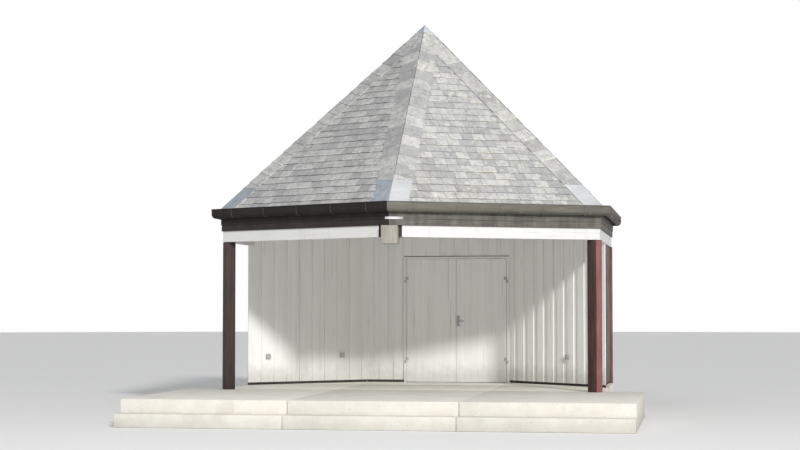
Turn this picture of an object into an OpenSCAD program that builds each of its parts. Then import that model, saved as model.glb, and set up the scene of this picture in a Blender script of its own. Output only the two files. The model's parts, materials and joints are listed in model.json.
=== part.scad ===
// Open-fronted hexagonal bandstand with a slate pyramid roof, standing on a low stage platform.
// Millimetres. Origin on the ground under the roof's apex, +Z up, the open front corner towards -Y.

/* [Plan] */
// Radius of the circle through the post centres
post_ring_r = 3310; // [3100:10:3500]
// Width of a square post
post_w = 165; // [140:5:200]
// Half width of the middle part of the backdrop
fold_x = 1224; // [1100:10:1400]
// Distance of the middle part's stage face behind the centre
fold_y = 1404; // [1200:10:1500]
// Distance of the wing ends in front of the centre
wing_end_y = 200; // [0:10:400]
// Thickness of the boarded walls
wall_t = 100; // [80:5:120]
// How far the outer walls' face lies behind the beams' face
wall_back = 7; // [5:1:15]
// Gap left where pieces meet
seam = 0.3; // [0.2:0.1:0.5]

/* [Platform] */
// Height of one step
step_rise = 190; // [150:5:220]
// Width of the stage platform
stage_w = 7200; // [7000:50:7600]
// Distance of the stage's front edge from the centre
stage_front = 4750; // [4200:50:5200]
// Distance of the stage's back edge in front of the centre
stage_back = 1450; // [1200:50:1700]
// Depth of the front step's tread
tread_d = 300; // [240:10:360]
// How far the pavilion's base reaches outside the post centres at its corners
base_out = 140; // [120:5:150]

/* [Frame] */
// Height of the ring beams' underside above the deck
head_h = 2310; // [2250:10:2400]
// Height of a ring beam
beam_h = 200; // [180:5:240]
// Thickness of a ring beam
beam_t = 100; // [80:5:120]
// How far the beams' outer face lies outside the line of the post centres
beam_out = 90; // [80:5:100]
// Width of the block hanging under the front corner
pendant_w = 240; // [200:5:280]
// How far that block hangs below the beams
pendant_drop = 100; // [60:5:140]
// How far that block stands out from the beams' corner
pendant_out = 20; // [10:2:30]
// Height of the wall plate on the beams
plate_h = 125; // [100:5:150]
// Width of a rafter
rafter_w = 50; // [45:5:70]
// Width of a hip rafter
hip_rafter_w = 70; // [60:5:90]
// Depth of the rafters, square to the slope
rafter_h = 150; // [130:5:170]
// Play between a hip rafter and the boarding and fascia
hip_play = 4; // [2:1:8]
// Number of common rafters in each slope
rafter_n = 4; // [4:2:6]
// Radius of the block that the hip rafters meet at
boss_r = 120; // [100:10:150]
// Thickness of the ceiling boards
ceiling_t = 22; // [18:1:30]

/* [Roof] */
// Pitch of the slopes in degrees
roof_pitch = 46; // [42:1:50]
// Thickness of the boarding and battens, square to the slope
deck_t = 55; // [45:5:70]
// Thickness of the slating, square to the slope
slate_t = 20; // [15:1:25]
// How far the slates reach past the fascia
slate_over = 45; // [35:1:55]
// Width of the slate strip on each side of a hip
hip_strip_w = 290; // [240:10:340]
// Thickness of that strip
hip_strip_t = 10; // [8:1:16]
// Length of the metal foot under each hip's strips
hip_foot_l = 560; // [400:10:700]
// Radius of the apex cap to its corners
cap_r = 150; // [120:10:220]
// Thickness of the apex cap
cap_t = 8; // [5:1:12]

/* [Eaves] */
// Thickness of the fascia board
fascia_t = 28; // [22:1:35]
// How far the fascia covers the beams
fascia_lap = 30; // [20:5:60]
// Width of the gutter
gutter_w = 133; // [120:1:145]
// Depth of the gutter
gutter_h = 145; // [120:5:160]
// Thickness of the gutter's wall
gutter_t = 4; // [3:1:6]
// Height of the gutter's front rim above the slates' edge
gutter_rise = 40; // [20:5:50]
// How far the gutter's back rim lies below the fascia's top
back_rim_drop = 15; // [10:1:25]
// Width of a gutter bracket
bracket_w = 30; // [25:5:40]
// Thickness of a gutter bracket
bracket_t = 5; // [4:1:8]
// Largest spacing of the gutter brackets
bracket_pitch = 700; // [500:50:900]
// How far a bracket's end lies below the gutter's front rim
bracket_drop = 10; // [5:1:20]

/* [Doors] */
// Height of the doorway
door_h = 2120; // [2000:10:2180]
// Distance of the doorway's left edge from the centre line
door_left = 553; // [400:10:700]
// Width of a door jamb
jamb_w = 34; // [30:1:40]
// Thickness of a door leaf
leaf_t = 40; // [35:1:45]
// Gap round a door leaf
leaf_gap = 5; // [5:1:8]
// Gap under the door leaves
floor_gap = 8; // [6:1:12]
// Depth of the stop behind the leaves
stop_d = 20; // [15:1:30]
// Width of that stop
stop_w = 22; // [18:1:30]
// Radius of a hinge knuckle
knuckle_r = 9; // [8:1:12]
// Radius of a hinge pin
pin_r = 4.5; // [4:0.5:6]
// Clearance of a knuckle on its pin
pin_clear = 0.3; // [0.2:0.1:0.5]
// Height of a hinge
hinge_h = 100; // [80:5:120]
// Width of a hinge plate
hinge_plate_w = 42; // [35:1:60]
// Thickness of a hinge plate
hinge_plate_t = 3; // [2:0.5:4]
// Height of the lower hinges' middle above the deck
hinge_low = 375; // [300:5:450]
// Height of the upper hinges' middle above the deck
hinge_high = 1755; // [1650:5:1850]
// Height of the door handle above the deck
handle_z = 1050; // [950:10:1150]
// Height of the handle's plate
handle_plate_h = 180; // [150:5:220]
// Width of the handle's plate
handle_plate_w = 40; // [34:1:50]
// Thickness of the handle's plate
handle_plate_t = 8; // [5:1:10]
// Length of the lever from its spindle
lever_l = 110; // [90:5:130]
// Thickness of the lever and its spindle
lever_w = 18; // [14:1:20]
// How far the lever stands off the door
lever_off = 54; // [45:1:60]

/* [Fittings] */
// Width of a wall socket
socket_w = 80; // [70:5:100]
// Depth of a wall socket
socket_d = 25; // [15:1:40]
// Height of the sockets above the deck
socket_z = 470; // [400:10:550]
// Outer radius of the downpipe
pipe_r = 40; // [35:1:50]
// Wall of the downpipe
pipe_t = 3; // [2:0.5:4]
// Height of the downpipe's lower clip above the deck
clip_low = 575; // [400:25:800]
// Height of its upper clip above the deck
clip_high = 1965; // [1700:25:2100]

/* [Hidden] */

// Levels
deck_z = 2 * step_rise;
head_z = deck_z + head_h;
beam_top = head_z + beam_h;
plate_top = beam_top + plate_h;
wall_top = beam_top - ceiling_t;

// Distances of the hexagon's sides from the centre
base_r = post_ring_r + base_out;
post_ap = post_ring_r * cos(30);
beam_ap = post_ap + beam_out;
beam_in_ap = beam_ap - beam_t;
fascia_ap = beam_ap + fascia_t;
slate_ap = fascia_ap + slate_over;
wall_ap = beam_ap - wall_back;
wall_in_ap = wall_ap - wall_t;

// Heights of the roof's layers at a distance x from the centre; the rafters sit on the plate's inner edge
rise = tan(roof_pitch);
function rafter_under(x) = plate_top + (beam_in_ap - x) * rise;
function rafter_top(x) = rafter_under(x) + rafter_h / cos(roof_pitch);
function deck_top(x) = rafter_top(x) + deck_t / cos(roof_pitch);
function slate_top(x) = deck_top(x) + slate_t / cos(roof_pitch);
apex_z = slate_top(0);

seam_v = seam / cos(roof_pitch);
fascia_bottom = beam_top - fascia_lap;
fascia_top = deck_top(fascia_ap) - seam_v;
gutter_top = slate_top(slate_ap) + gutter_rise;
gutter_bottom = gutter_top - gutter_h;

// Doorway
door_right = fold_x - jamb_w;
door_w = door_right + door_left;
door_top = deck_z + door_h;
leaf_w = (door_w - 3 * leaf_gap) / 2;
leaf_h = door_h - floor_gap - leaf_gap;
hinge_y = fold_y - knuckle_r;
wing_angle = atan2(fold_y + wing_end_y, wall_ap - fold_x);
far = 2 * post_ring_r;
over = 1;

// Each wall socket: its side of the backdrop, and the share of the wing from its outer end
socket_places = [[-1, 0.17], [-1, 0.78], [1, 0.38]];

// Corner k of the hexagon, from the front corner round by the right; side i runs from corner i to corner i + 1
function corner(k, r) = [r * cos(-90 + 60 * k), r * sin(-90 + 60 * k)];

module on_side(i) {
  rotate(-60 + 60 * i) children();
}

module on_corner(k) {
  rotate(-90 + 60 * k) children();
}

// The part of side i that lies at least half of gap inside its two hip lines
module sector(i, gap) {
  on_side(i) intersection() {
    children();
    linear_extrude(height = 2 * apex_z)
      polygon([[gap, 0], [far, (gap - far) * tan(30)], [far, (far - gap) * tan(30)]]);
  }
}

// A length of the profile in x and z, run along one side and mitred at its two corners
module mitred(i) {
  sector(i, seam) rotate([90, 0, 0]) linear_extrude(height = 2 * far, center = true) children();
}

module hexagon(r) {
  polygon([for (k = [0:5]) corner(k, r)]);
}

module hexagon_ring(in_ap, out_ap, bottom, top) {
  translate([0, 0, bottom]) linear_extrude(height = top - bottom) difference() {
    hexagon(out_ap / cos(30));
    hexagon(in_ap / cos(30));
  }
}

module post_plan(k) {
  translate(corner(k, post_ring_r)) rotate(60 * k) square(post_w, center = true);
}

module offset_post(k) {
  translate(corner(k, post_ring_r)) rotate(60 * k) square(post_w + 2 * seam, center = true);
}

module stage_platform() {
  color("#d9d2c2") linear_extrude(height = deck_z) {
    hexagon(base_r);
    translate([-stage_w / 2, -stage_front]) square([stage_w, stage_front - stage_back]);
  }
}

module front_step() {
  color("#d2cbbb") translate([-stage_w / 2, -stage_front - tread_d, 0]) cube([stage_w, tread_d, step_rise]);
}

module post(k) {
  color("#4a2a22") translate([0, 0, deck_z]) linear_extrude(height = head_h) post_plan(k);
}

module beam(i) {
  color("#eeebe4") difference() {
    mitred(i) translate([beam_in_ap, head_z]) square([beam_t, beam_h]);
    pendant_block();
  }
}

module pendant_block() {
  translate([0, 0, head_z - pendant_drop]) linear_extrude(height = fascia_bottom - head_z + pendant_drop)
    translate(corner(0, beam_ap / cos(30) + pendant_out - pendant_w / 2)) square(pendant_w, center = true);
}

// The block at the unsupported front corner, let into the two beams and hanging a little below them
module corner_pendant() {
  color("#a09a8c") pendant_block();
}

// Flat-topped hip rafter under corner k, just under the boarding, its end just inside the fascia
module hip_rafter(k) {
  start = boss_r / 2;
  end = beam_ap / cos(30) - hip_rafter_w / 2 * tan(30) - hip_play;
  edge = hip_rafter_w / 2 * sin(30) + hip_play;
  on_corner(k) rotate([90, 0, 0]) linear_extrude(height = hip_rafter_w, center = true) polygon([
    [start, rafter_under(start * cos(30))], [beam_in_ap / cos(30), plate_top + seam], [end, plate_top + seam],
    [end, rafter_top(end * cos(30) + edge)], [start, rafter_top(start * cos(30) + edge)]
  ]);
}

// Common rafter at y along side i, from the side of the hip rafter down to the fascia
module common_rafter(i, y) {
  sector(i, hip_rafter_w + 2 * seam)
    translate([0, y, 0]) rotate([90, 0, 0]) linear_extrude(height = rafter_w, center = true) polygon([
      [0, rafter_under(0)], [beam_in_ap, plate_top + seam], [beam_ap, plate_top + seam],
      [beam_ap, rafter_top(beam_ap)], [0, rafter_top(0)]
    ]);
}

// Wall plates, hip rafters meeting at the apex block, and common rafters
module roof_frame() {
  side_l = 2 * beam_ap * tan(30);
  color("#8d6f4e") {
    hexagon_ring(beam_in_ap, beam_ap, beam_top, plate_top);
    translate([0, 0, rafter_under(0)]) linear_extrude(height = rafter_top(boss_r) - rafter_under(0)) hexagon(boss_r);
    for (i = [0:5]) {
      hip_rafter(i);
      for (j = [0:rafter_n - 1]) common_rafter(i, ((j + 0.5) / rafter_n - 0.5) * side_l);
    }
  }
}

module ceiling() {
  color("#e6e2d8") translate([0, 0, wall_top]) linear_extrude(height = ceiling_t) hexagon((beam_in_ap - seam) / cos(30));
}

// One slope: boarding that stops at the fascia, and the slating that reaches over the gutter
module slope(i) {
  color("#85858a") mitred(i) polygon([
    [0, rafter_top(0) + seam_v], [beam_ap, rafter_top(beam_ap) + seam_v], [beam_ap, deck_top(beam_ap)],
    [slate_ap - slate_t * sin(roof_pitch), slate_top(slate_ap) - slate_t * cos(roof_pitch)],
    [slate_ap, slate_top(slate_ap)], [0, apex_z]
  ]);
}

// Slate strips along both sides of every hip, above their metal feet
module hip_layer(from_ap, to_ap) {
  for (i = [0:5]) intersection() {
    mitred(i) polygon([
      [0, apex_z], [slate_ap, slate_top(slate_ap)],
      [slate_ap, slate_top(slate_ap) + hip_strip_t / cos(roof_pitch)],
      [0, apex_z + hip_strip_t / cos(roof_pitch)]
    ]);
    on_side(i) for (s = [-1, 1]) hip_strip_plan(s, from_ap, to_ap);
  }
}

module hip_strip_plan(s, from_ap, to_ap) {
  strip = hip_strip_w / sin(atan(1 / (tan(30) * cos(roof_pitch))));
  linear_extrude(height = 2 * apex_z) polygon([
    [from_ap, s * from_ap * tan(30)], [to_ap, s * to_ap * tan(30)],
    [to_ap, s * max(0, to_ap * tan(30) - strip)], [from_ap, s * max(0, from_ap * tan(30) - strip)]
  ]);
}

module hip_strips() {
  color("#9a9a9c") hip_layer(cap_r * cos(30), slate_ap - hip_foot_l * cos(roof_pitch));
}

module hip_feet() {
  color("#7f8fa3") hip_layer(slate_ap - hip_foot_l * cos(roof_pitch), slate_ap);
}

module apex_cap() {
  skirt = (hip_strip_t + cap_t) / cos(roof_pitch);
  cone_h = cap_r * cos(30) * rise;
  color("#9097a0") translate([0, 0, apex_z - cone_h]) rotate(30) difference() {
    union() {
      cylinder(h = skirt, r = cap_r, $fn = 6);
      translate([0, 0, skirt]) cylinder(h = cone_h, r1 = cap_r, r2 = 0, $fn = 6);
    }
    translate([0, 0, -cone_h]) cylinder(h = 2 * cone_h, r1 = 2 * cap_r, r2 = 0, $fn = 6);
  }
}

module fascia() {
  color("#4b3a30") hexagon_ring(beam_ap + seam, fascia_ap, fascia_bottom, fascia_top);
}

// Outline of the gutter grown by g, round-bottomed and open above
module gutter_outline(g) {
  mid = fascia_ap + seam + gutter_w / 2;
  r = gutter_w / 2 + g;
  union() {
    translate([mid, gutter_bottom + gutter_w / 2]) circle(r, $fn = 48);
    translate([mid - r, gutter_bottom + gutter_w / 2]) square([2 * r, gutter_h - gutter_w / 2]);
  }
}

module gutter(i) {
  color("#4a423b") mitred(i) difference() {
    gutter_outline(0);
    gutter_outline(-gutter_t);
    translate([fascia_ap, fascia_top - back_rim_drop]) square([gutter_w / 2, gutter_h]);
  }
}

module gutter_brackets() {
  side_l = fascia_ap * 2 * tan(30);
  count = ceil(side_l / bracket_pitch);
  color("#3f3832") for (i = [0:5]) for (j = [0:count - 1])
    on_side(i) translate([0, ((j + 0.5) / count - 0.5) * side_l + bracket_w / 2, 0])
      rotate([90, 0, 0]) linear_extrude(height = bracket_w) difference() {
        gutter_outline(bracket_t);
        gutter_outline(0);
        square([fascia_ap + seam, 2 * apex_z]);
        translate([0, gutter_top - bracket_drop]) square([far, apex_z]);
      }
}

// Downpipe at the back corner, from the gutter's floor to the ground
module downpipe() {
  pipe_at = corner(3, (fascia_ap + gutter_w / 2) / cos(30));
  post_face = post_ring_r + post_w / 2;
  color("#4a423b") difference() {
    union() {
      translate([pipe_at[0], pipe_at[1], 0]) cylinder(h = gutter_bottom, r = pipe_r, $fn = 48);
      for (z = [deck_z + clip_low, deck_z + clip_high])
        translate([-bracket_w / 2, post_face, z]) cube([bracket_w, pipe_at[1] - post_face, bracket_w]);
    }
    translate([pipe_at[0], pipe_at[1], -over])
      cylinder(h = gutter_bottom + 2 * over, r = pipe_r - pipe_t, $fn = 48);
  }
}

// Plan of the left wing; the right one mirrors it
module wing_plan() {
  polygon([
    [-wall_ap, -wing_end_y], [-fold_x, fold_y],
    [-fold_x - wall_t * tan(wing_angle / 2), fold_y + wall_t],
    [-wall_ap, -wing_end_y + wall_t / cos(wing_angle)]
  ]);
}

module wing_wall() {
  color("#f1efea") {
    translate([0, 0, deck_z]) linear_extrude(height = head_h - seam) wing_plan();
    translate([0, 0, deck_z]) linear_extrude(height = wall_top - deck_z) intersection() {
      wing_plan();
      square([2 * (beam_in_ap - seam), far], center = true);
    }
  }
}

module back_wall() {
  color("#f1efea") translate([0, 0, deck_z]) linear_extrude(height = wall_top - deck_z) polygon([
    [-fold_x, fold_y], [-door_left - jamb_w, fold_y], [-door_left - jamb_w, fold_y + wall_t],
    [-fold_x - wall_t * tan(wing_angle / 2), fold_y + wall_t]
  ]);
}

module door_header() {
  color("#f1efea") translate([0, 0, door_top + jamb_w]) linear_extrude(height = wall_top - door_top - jamb_w)
    polygon([
      [-door_left - jamb_w, fold_y], [fold_x, fold_y],
      [fold_x + wall_t * tan(wing_angle / 2), fold_y + wall_t], [-door_left - jamb_w, fold_y + wall_t]
    ]);
}

// Jambs, head and the stop that the leaves close against, with the fixed halves of the hinges
module door_frame() {
  color("#eceae4") {
    translate([-door_left - jamb_w, fold_y, deck_z]) cube([jamb_w, wall_t, door_h]);
    translate([0, 0, deck_z]) linear_extrude(height = door_h) polygon([
      [door_right, fold_y], [fold_x, fold_y],
      [fold_x + wall_t * tan(wing_angle / 2), fold_y + wall_t], [door_right, fold_y + wall_t]
    ]);
    translate([0, 0, door_top]) linear_extrude(height = jamb_w) polygon([
      [-door_left - jamb_w, fold_y], [fold_x, fold_y],
      [fold_x + wall_t * tan(wing_angle / 2), fold_y + wall_t], [-door_left - jamb_w, fold_y + wall_t]
    ]);
    translate([0, fold_y + leaf_t + leaf_gap, 0]) {
      translate([-door_left, 0, deck_z]) cube([stop_w, stop_d, door_h]);
      translate([door_right - stop_w, 0, deck_z]) cube([stop_w, stop_d, door_h]);
      translate([-door_left, 0, door_top - stop_w]) cube([door_w, stop_d, stop_w]);
    }
  }
  color("#5a5a58") for (s = [-1, 1]) for (z = [hinge_low, hinge_high])
    hinge_at(s, z) hinge_fixed();
}

// Axis of the hinges of side s at height z above the deck, with +X pointing to the leaf
module hinge_at(s, z) {
  translate([s < 0 ? -door_left + leaf_gap / 2 : door_right - leaf_gap / 2, hinge_y, deck_z + z - hinge_h / 2])
    scale([-s, 1, 1]) children();
}

module hinge_fixed() {
  cylinder(h = hinge_h / 2, r = knuckle_r, $fn = 32);
  cylinder(h = hinge_h, r = pin_r, $fn = 32);
  translate([-jamb_w + leaf_gap, knuckle_r - hinge_plate_t, 0]) cube([jamb_w - leaf_gap, hinge_plate_t, hinge_h / 2]);
}

module hinge_moving() {
  translate([0, 0, hinge_h / 2 + pin_clear]) difference() {
    union() {
      cylinder(h = hinge_h / 2 - pin_clear, r = knuckle_r, $fn = 32);
      translate([0, knuckle_r - hinge_plate_t, 0])
        cube([hinge_plate_w, hinge_plate_t, hinge_h / 2 - pin_clear]);
    }
    translate([0, 0, -over]) cylinder(h = hinge_h, r = pin_r + pin_clear, $fn = 32);
  }
}

// Boarded leaf of side s with the moving halves of its hinges
module leaf(s) {
  x0 = s < 0 ? -door_left + leaf_gap : door_right - leaf_gap - leaf_w;
  color("#f1efea") translate([x0, fold_y, deck_z + floor_gap]) cube([leaf_w, leaf_t, leaf_h]);
  color("#5a5a58") for (z = [hinge_low, hinge_high]) hinge_at(s, z) hinge_moving();
}

module door_handle() {
  x0 = door_right - leaf_gap - leaf_w + handle_plate_w / 2 + lever_w;
  color("#6a6a68") translate([x0, fold_y, deck_z + handle_z]) {
    translate([-handle_plate_w / 2, -handle_plate_t, -handle_plate_h / 2])
      cube([handle_plate_w, handle_plate_t, handle_plate_h]);
    rotate([90, 0, 0]) cylinder(h = lever_off - lever_w / 2, r = lever_w / 2, $fn = 32);
    translate([-lever_w / 2, -lever_off, -lever_w / 2]) cube([lever_l, lever_w * 3 / 4, lever_w]);
  }
}

// Outer walls of the back room, under the ring beams and between the posts
module outer_wall(i) {
  color("#4d3b30") translate([0, 0, deck_z]) linear_extrude(height = head_h - seam) difference() {
    on_side(i) translate([wall_in_ap, -post_ring_r / 2]) square([wall_t, post_ring_r]);
    offset_post(i);
    offset_post(i + 1);
  }
}

module side_wall(i) {
  color("#4d3b30") intersection() {
    outer_wall(i);
    linear_extrude(height = 2 * apex_z) polygon([
      [-far, -wing_end_y + wall_t / cos(wing_angle) - (far - wall_ap) * tan(wing_angle)],
      [0, -wing_end_y + wall_t / cos(wing_angle) + wall_ap * tan(wing_angle)],
      [0, far], [-far, far]
    ]);
  }
}

module wall_sockets() {
  along = fold_y + wing_end_y;
  color("#8b8d8e") for (p = socket_places)
    translate([p[0] * (wall_ap - p[1] * (wall_ap - fold_x)), -wing_end_y + p[1] * along, deck_z + socket_z])
      rotate(-p[0] * wing_angle)
        translate([-socket_w / 2, -socket_d - seam, -socket_w / 2]) cube([socket_w, socket_d, socket_w]);
}

stage_platform();
front_step();
post(1);  // post_front_right
post(2);  // post_rear_right
post(3);  // post_rear
post(4);  // post_rear_left
post(5);  // post_front_left
beam(0);  // beam_front_right
beam(1);  // beam_right
beam(2);  // beam_rear_right
beam(3);  // beam_rear_left
beam(4);  // beam_left
beam(5);  // beam_front_left
corner_pendant();
roof_frame();
ceiling();
slope(0);  // roof_front_right
slope(1);  // roof_right
slope(2);  // roof_rear_right
slope(3);  // roof_rear_left
slope(4);  // roof_left
slope(5);  // roof_front_left
hip_strips();
hip_feet();
apex_cap();
fascia();
gutter(0);  // gutter_front_right
gutter(1);  // gutter_right
gutter(2);  // gutter_rear_right
gutter(3);  // gutter_rear_left
gutter(4);  // gutter_left
gutter(5);  // gutter_front_left
gutter_brackets();
downpipe();
wing_wall();  // wing_wall_left
mirror([1, 0, 0]) wing_wall();  // wing_wall_right
back_wall();
door_header();
door_frame();
leaf(-1);  // door_left_leaf
leaf(1);  // door_right_leaf
door_handle();
mirror([1, 0, 0]) side_wall(4);  // side_wall_right
outer_wall(2);  // rear_wall_right
outer_wall(3);  // rear_wall_left
side_wall(4);  // side_wall_left
wall_sockets();
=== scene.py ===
"""Looks of the open-fronted hexagonal bandstand: slates, boards, eaves, platform, finishes and light."""

import json
import math
import random
from contextlib import contextmanager

import bmesh
import bpy
import numpy as np
from mathutils import Matrix, Vector


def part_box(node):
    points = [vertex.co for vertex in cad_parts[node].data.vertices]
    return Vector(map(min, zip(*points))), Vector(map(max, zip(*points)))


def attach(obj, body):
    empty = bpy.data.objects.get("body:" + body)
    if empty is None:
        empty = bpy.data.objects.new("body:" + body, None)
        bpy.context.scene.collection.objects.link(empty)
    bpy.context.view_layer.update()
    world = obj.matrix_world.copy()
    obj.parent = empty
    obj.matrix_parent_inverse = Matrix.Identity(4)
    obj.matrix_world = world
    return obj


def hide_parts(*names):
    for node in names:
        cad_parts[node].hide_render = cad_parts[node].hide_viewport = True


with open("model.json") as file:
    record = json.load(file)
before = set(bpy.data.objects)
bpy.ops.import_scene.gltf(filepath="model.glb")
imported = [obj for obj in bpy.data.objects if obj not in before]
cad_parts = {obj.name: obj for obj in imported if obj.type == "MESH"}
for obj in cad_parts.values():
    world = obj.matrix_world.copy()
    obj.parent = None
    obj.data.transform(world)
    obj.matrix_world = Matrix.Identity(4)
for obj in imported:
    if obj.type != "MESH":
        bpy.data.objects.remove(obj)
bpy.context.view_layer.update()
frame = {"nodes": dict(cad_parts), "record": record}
nodes = frame["nodes"]
bpy.ops.object.select_all(action="DESELECT")
chance = random.Random(7)

X, Y, UP = Vector((1, 0, 0)), Vector((0, 1, 0)), Vector((0, 0, 1))
LOW, HIGH = 0, 1


def edge(node, end, axis):
    """The low or high side of a node's box, rounded to the CAD's hundredths of a millimetre."""
    return round(getattr(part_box(node)[end], axis), 5)


# Sizes in metres. AP is short for a distance from the middle, square to a side of the hexagon.
SEAM = 0.0003
CLEAR = 0.0006
NEAR = 0.0001
BEAM_T = 0.1
TAN_30 = math.tan(math.radians(30))
SIDES = ["front_right", "right", "rear_right", "rear_left", "left", "front_left"]
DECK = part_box("stage_platform")[HIGH].z
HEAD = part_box("beam_right")[LOW].z
WALL_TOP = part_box("ceiling")[LOW].z
BEAM_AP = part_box("beam_right")[HIGH].x
BEAM_IN = BEAM_AP - BEAM_T
FASCIA_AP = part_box("fascia")[HIGH].x
POST_HALF = edge("post_rear", HIGH, "x")
POST_RING = edge("post_rear", HIGH, "y") - POST_HALF

# The slopes' upper face, with its level at the eaves and at the apex
PITCH = math.radians(46)
SLATE_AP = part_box("roof_right")[HIGH].x
SLATE_LOW = 3.159752
APEX = 6.296938

# The backdrop's plan and the doorway, in rounded sizes, because boards end right at these planes
FOLD_X = edge("wing_wall_right", LOW, "x")
FOLD_Y = edge("back_wall", LOW, "y")
WING_END_Y = -edge("wing_wall_right", LOW, "y")
WALL_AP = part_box("wing_wall_right")[HIGH].x
WALL_T = 0.1
WING_TURN = math.atan2(FOLD_Y + WING_END_Y, WALL_AP - FOLD_X)
JAMB = 0.034
LEAF_GAP = 0.005
DOOR_HIGH = 2.12
DOOR_TOP = DECK + DOOR_HIGH
DOOR_LEFT = round(-edge("door_frame", LOW, "x") - JAMB, 5)
DOOR_RIGHT = round(2 * edge("door_right_leaf", LOW, "x") + DOOR_LEFT - LEAF_GAP, 5)
LEAF_W = (DOOR_RIGHT + DOOR_LEFT - 3 * LEAF_GAP) / 2


# Handwork

def pick(piece):
    """Only this piece is selected and active."""
    bpy.ops.object.select_all(action="DESELECT")
    piece.select_set(True)
    bpy.context.view_layer.objects.active = piece


@contextmanager
def editing(piece, action="SELECT"):
    """Edit mode on the piece, starting with all of it selected or, by DESELECT, nothing."""
    pick(piece)
    bpy.ops.object.mode_set(mode="EDIT")
    bpy.ops.mesh.select_all(action=action)
    yield bmesh.from_edit_mesh(piece.data)
    bpy.ops.object.mode_set(mode="OBJECT")


def settle(piece):
    """The piece's place and turn go into its mesh."""
    pick(piece)
    bpy.ops.object.transform_apply(location=True, rotation=True, scale=True)
    return piece


def block(low, high):
    """A cuboid between two corners."""
    low, high = Vector(low), Vector(high)
    bpy.ops.mesh.primitive_cube_add(size=1, location=(low + high) / 2)
    piece = bpy.context.object
    piece.scale = high - low
    return settle(piece)


def rod(radius, depth, place, turn=(0, 0, 0), sides=16):
    """A round bar with its middle at place."""
    bpy.ops.mesh.primitive_cylinder_add(vertices=sides, radius=radius, depth=depth, location=place,
                                        rotation=turn)
    return settle(bpy.context.object)


def cut(piece, point, facing):
    """Cuts the piece at a plane, closes it, and drops what lies on the side that the plane faces."""
    with editing(piece):
        bpy.ops.mesh.bisect(plane_co=point, plane_no=facing, use_fill=True, clear_outer=True)
    return piece


def ease(piece, width, segments=1):
    """Takes the sharpness off every edge that turns more than 35 degrees."""
    pick(piece)
    bevel = piece.modifiers.new("ease", "BEVEL")
    bevel.width = width
    bevel.segments = segments
    bevel.limit_method = "ANGLE"
    bevel.angle_limit = math.radians(35)
    bpy.ops.object.modifier_apply(modifier=bevel.name)
    return piece


def ease_edges(piece, width, wanted):
    """Bevels the edges whose middle and direction pass the test."""
    with editing(piece, "DESELECT") as work:
        for edge in work.edges:
            first, last = [vertex.co for vertex in edge.verts]
            edge.select_set(wanted((first + last) / 2, last - first))
        bmesh.update_edit_mesh(piece.data)
        bpy.ops.mesh.bevel(offset=width, offset_type="OFFSET", segments=1, affect="EDGES")
    return piece


def taken(node):
    """A merged copy of a CAD node, with its flat faces whole."""
    piece = bpy.data.objects.new(node + "_copy", nodes[node].data.copy())
    piece.data.materials.clear()
    bpy.context.scene.collection.objects.link(piece)
    with editing(piece):
        bpy.ops.mesh.remove_doubles(threshold=0.00002)
        bpy.ops.mesh.dissolve_limited(angle_limit=math.radians(1))
    return piece


def mark(piece, along=X, across=Y, tone=None):
    """Stores each point's place in the piece's own directions, shifted by chance, and the piece's tone."""
    mesh = piece.data
    count = len(mesh.vertices)
    points = np.zeros(count * 3)
    mesh.vertices.foreach_get("co", points)
    first, second = along.normalized(), across.normalized()
    axes = np.array([first, second, first.cross(second)])
    local = points.reshape(-1, 3) @ axes.T + np.array([chance.uniform(0, 40) for _ in range(3)])
    tones = np.full(count, chance.random() if tone is None else tone)
    for name, kind, field, values in (
        ("grain", "FLOAT_VECTOR", "vector", local),
        ("tone", "FLOAT", "value", tones),
    ):
        layer = mesh.attributes.get(name) or mesh.attributes.new(name, kind, "POINT")
        layer.data.foreach_set(field, values.astype(np.float32).ravel())
    return piece


def laid(pattern, origin, along, across, tone=None):
    """A copy of the pattern with its own mesh and grain, its +X turned along, its +Y across."""
    along, across = along.normalized(), across.normalized()
    turn = Matrix((along, across, along.cross(across))).transposed().to_4x4()
    piece = pattern.copy()
    piece.data = pattern.data.copy()
    bpy.context.scene.collection.objects.link(piece)
    mark(piece, tone=tone)
    piece.data.transform(Matrix.Translation(origin) @ turn)
    return piece


def drop(*pieces):
    """Removes patterns and leftovers."""
    for piece in pieces:
        bpy.data.objects.remove(piece)


def joined(pieces):
    """One object made from the pieces."""
    bpy.ops.object.select_all(action="DESELECT")
    for piece in pieces:
        piece.select_set(True)
    bpy.context.view_layer.objects.active = pieces[0]
    if len(pieces) > 1:
        bpy.ops.object.join()
    return pieces[0]


def trimmed(pieces, planes):
    """The pieces joined and cut at each plane."""
    piece = joined(pieces)
    for point, facing in planes:
        cut(piece, point, facing)
    return piece


def fitted(piece, name, finish, replaced=(), body="pavilion", smooth=30):
    """Names the piece, gives it its finish and puts it on its body."""
    piece.name = name
    piece.data.name = name
    if not piece.data.attributes.get("tone"):
        mark(piece)
    if not piece.data.materials:
        piece.data.materials.append(finish)
    pick(piece)
    bpy.ops.object.shade_smooth_by_angle(angle=math.radians(smooth))
    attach(piece, body)
    if replaced:
        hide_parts(*replaced)


def heading(degrees):
    """A level direction, counted from +X towards +Y."""
    turn = math.radians(degrees)
    return Vector((math.cos(turn), math.sin(turn), 0))


def side_frame(i):
    """Outward and leftward directions of side i."""
    out = heading(60 * i - 60)
    return out, UP.cross(out)


def to_side(piece, i):
    """Turns a piece that was made on the +X side to side i."""
    piece.data.transform(Matrix.Rotation(math.radians(60 * i - 60), 4, "Z"))


def mitre(piece, i, back=SEAM):
    """Cuts a run on side i at its two corners."""
    for sign in (-1, 1):
        facing = heading(60 * i - 60 + sign * 120)
        cut(piece, -facing * back, facing)
    return piece


# Shader graphs

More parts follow.
